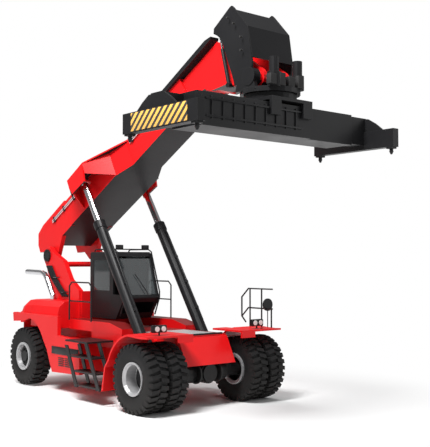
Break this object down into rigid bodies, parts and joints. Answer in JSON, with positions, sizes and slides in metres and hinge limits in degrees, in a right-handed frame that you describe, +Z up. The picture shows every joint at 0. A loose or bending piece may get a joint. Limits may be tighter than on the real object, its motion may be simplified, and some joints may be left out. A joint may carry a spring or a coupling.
{
  "type": "reach stacker",
  "caption": "Container reach stacker: telescopic boom, twin lift cylinders, slewing spreader, cab, twin drive wheels and steered rear wheels.",
  "frame": {"origin": "middle of the whole machine's box, on the ground", "axes": "+X the machine's left, -Y forward, +Z up"},
  "size_m": [6.053, 11.0396, 9.2565],
  "materials": {
    "red_paint": "gloss red paint",
    "black_paint": "satin black paint",
    "tyre": "black tread rubber",
    "rim": "silver paint",
    "glass": "tinted glass",
    "chrome": "polished",
    "seat": "black seat cloth",
    "iron": "dull cast iron"
  },
  "bodies": {
    "chassis": {"chassis_frame": "red_paint", "deck": "red_paint", "fender_left": "red_paint", "fender_right": "red_paint", "boom_towers": "red_paint", "body_side_left": "red_paint", "body_side_right": "red_paint", "side_tank_left": "red_paint", "side_tank_right": "red_paint", "counterweight": "red_paint", "engine_block": "iron", "exhaust_stack": "chrome", "ladder_left": "black_paint", "ladder_right": "black_paint", "handrail_front_left": "black_paint", "cab_shell": "black_paint", "windscreen": "glass", "side_glass_left": "glass", "rear_glass": "glass", "operator_seat": "seat", "steering_column": "black_paint", "drive_axle": "black_paint", "steer_axle": "black_paint"},
    "hood": {"engine_hood": "red_paint"},
    "door": {"cab_door": "black_paint", "door_glass": "glass"},
    "front_wheel_left": {"front_rims_left": "rim", "front_tyre_inner_left": "tyre", "front_tyre_outer_left": "tyre"},
    "front_wheel_right": {"front_rims_right": "rim", "front_tyre_inner_right": "tyre", "front_tyre_outer_right": "tyre"},
    "knuckle_left": {"steer_knuckle_left": "black_paint"},
    "knuckle_right": {"steer_knuckle_right": "black_paint"},
    "rear_wheel_left": {"rear_rim_left": "rim", "rear_tyre_left": "tyre"},
    "rear_wheel_right": {"rear_rim_right": "rim", "rear_tyre_right": "tyre"},
    "boom": {"boom_outer": "red_paint"},
    "boom_slide": {"boom_inner": "red_paint", "hose_tray": "black_paint"},
    "barrel_left": {"lift_barrel_left": "black_paint"},
    "barrel_right": {"lift_barrel_right": "black_paint"},
    "rod_left": {"lift_rod_left": "chrome"},
    "rod_right": {"lift_rod_right": "chrome"},
    "head": {"head_yoke": "black_paint"},
    "damper_left": {"damper_barrel_left": "black_paint"},
    "damper_right": {"damper_barrel_right": "black_paint"},
    "damper_shaft_left": {"damper_rod_left": "chrome"},
    "damper_shaft_right": {"damper_rod_right": "chrome"},
    "carriage": {"side_shift_carriage": "black_paint"},
    "frame": {"spreader_frame": "black_paint"},
    "arm_left": {"spreader_arm_left": "black_paint"},
    "arm_right": {"spreader_arm_right": "black_paint"}
  },
  "joints": [
    {"name": "boom_lift", "type": "hinge", "parent": "chassis", "child": "boom", "pos_m": [0.1, 4.22975, 3.65], "axis": [-1, 0, 0], "range_deg": [-23, 31]},
    {"name": "boom_extend", "type": "slide", "parent": "boom", "child": "boom_slide", "axis": [0, 0.8755, -0.4831], "range_m": [-5.8, 0]},
    {"name": "head_level", "type": "hinge", "parent": "boom_slide", "child": "head", "pos_m": [0.1, -4.23655, 7.55649], "axis": [-1, 0, 0], "range_deg": [-31, 23]},
    {"name": "lift_foot_left", "type": "hinge", "parent": "chassis", "child": "barrel_left", "pos_m": [1.08, -0.78025, 1.45], "axis": [-1, 0, 0], "range_deg": [-2.31, 3.11]},
    {"name": "lift_stroke_left", "type": "slide", "parent": "barrel_left", "child": "rod_left", "axis": [0, 0.5596, 0.8288], "range_m": [-1.151, 1.551]},
    {"name": "damper_foot_left", "type": "hinge", "parent": "boom_slide", "child": "damper_left", "pos_m": [0.63, -3.44672, 7.49757], "axis": [-1, 0, 0], "range_deg": [-40, 40]},
    {"name": "damper_stroke_left", "type": "slide", "parent": "damper_left", "child": "damper_shaft_left", "axis": [0, 0.257, 0.9664], "range_m": [-0.42, 0.5]},
    {"name": "lift_foot_right", "type": "hinge", "parent": "chassis", "child": "barrel_right", "pos_m": [-0.88, -0.78025, 1.45], "axis": [-1, 0, 0], "range_deg": [-2.31, 3.11]},
    {"name": "lift_stroke_right", "type": "slide", "parent": "barrel_right", "child": "rod_right", "axis": [0, 0.5596, 0.8288], "range_m": [-1.151, 1.551]},
    {"name": "damper_foot_right", "type": "hinge", "parent": "boom_slide", "child": "damper_right", "pos_m": [-0.43, -3.44672, 7.49757], "axis": [-1, 0, 0], "range_deg": [-40, 40]},
    {"name": "damper_stroke_right", "type": "slide", "parent": "damper_right", "child": "damper_shaft_right", "axis": [0, 0.257, 0.9664], "range_m": [-0.42, 0.5]},
    {"name": "slew", "type": "hinge", "parent": "head", "child": "carriage", "pos_m": [0.1, -4.23655, 7.18649], "axis": [0, 0, 1], "range_deg": [-105, 195]},
    {"name": "side_shift", "type": "slide", "parent": "carriage", "child": "frame", "axis": [1, 0, 0], "range_m": [-0.7, 0.9]},
    {"name": "spread_left", "type": "slide", "parent": "frame", "child": "arm_left", "axis": [1, 0, 0], "range_m": [0, 3.066]},
    {"name": "spread_right", "type": "slide", "parent": "frame", "child": "arm_right", "axis": [-1, 0, 0], "range_m": [0, 3.066]},
    {"name": "drive_wheel_left", "type": "hinge", "parent": "chassis", "child": "front_wheel_left", "pos_m": [1.345, -1.82025, 0.8075], "axis": [1, 0, 0], "continuous": true},
    {"name": "steer_left", "type": "hinge", "parent": "chassis", "child": "knuckle_left", "pos_m": [1.1, 4.10975, 0.8075], "axis": [0, 0, 1], "range_deg": [-35, 35]},
    {"name": "rear_wheel_left", "type": "hinge", "parent": "knuckle_left", "child": "rear_wheel_left", "pos_m": [1.56, 4.10975, 0.8075], "axis": [1, 0, 0], "continuous": true},
    {"name": "drive_wheel_right", "type": "hinge", "parent": "chassis", "child": "front_wheel_right", "pos_m": [-1.145, -1.82025, 0.8075], "axis": [1, 0, 0], "continuous": true},
    {"name": "steer_right", "type": "hinge", "parent": "chassis", "child": "knuckle_right", "pos_m": [-0.9, 4.10975, 0.8075], "axis": [0, 0, 1], "range_deg": [-35, 35]},
    {"name": "rear_wheel_right", "type": "hinge", "parent": "knuckle_right", "child": "rear_wheel_right", "pos_m": [-1.36, 4.10975, 0.8075], "axis": [1, 0, 0], "continuous": true},
    {"name": "hood_lid", "type": "hinge", "parent": "chassis", "child": "hood", "pos_m": [0.1, 4.03975, 2.405], "axis": [1, 0, 0], "range_deg": [0, 55]},
    {"name": "cab_door_hinge", "type": "hinge", "parent": "chassis", "child": "door", "pos_m": [-0.48, 2.27975, 2.8], "axis": [0, 0, -1], "range_deg": [0, 85]}
  ],
  "couplings": [
    {"joint": "head_level", "follows": "boom_lift", "ratio": -1},
    {"joint": "lift_foot_left", "follows": "boom_lift", "ratio": 0.1},
    {"joint": "lift_stroke_left", "follows": "boom_lift", "m_per_rad": 2.8648},
    {"joint": "damper_foot_left", "follows": "boom_lift", "ratio": -1.09},
    {"joint": "damper_stroke_left", "follows": "boom_lift", "m_per_rad": 0.7563},
    {"joint": "lift_foot_right", "follows": "boom_lift", "ratio": 0.1},
    {"joint": "lift_stroke_right", "follows": "boom_lift", "m_per_rad": 2.8648},
    {"joint": "damper_foot_right", "follows": "boom_lift", "ratio": -1.09},
    {"joint": "damper_stroke_right", "follows": "boom_lift", "m_per_rad": 0.7563},
    {"joint": "spread_right", "follows": "spread_left", "ratio": 1},
    {"joint": "steer_right", "follows": "steer_left", "ratio": 1}
  ]
}
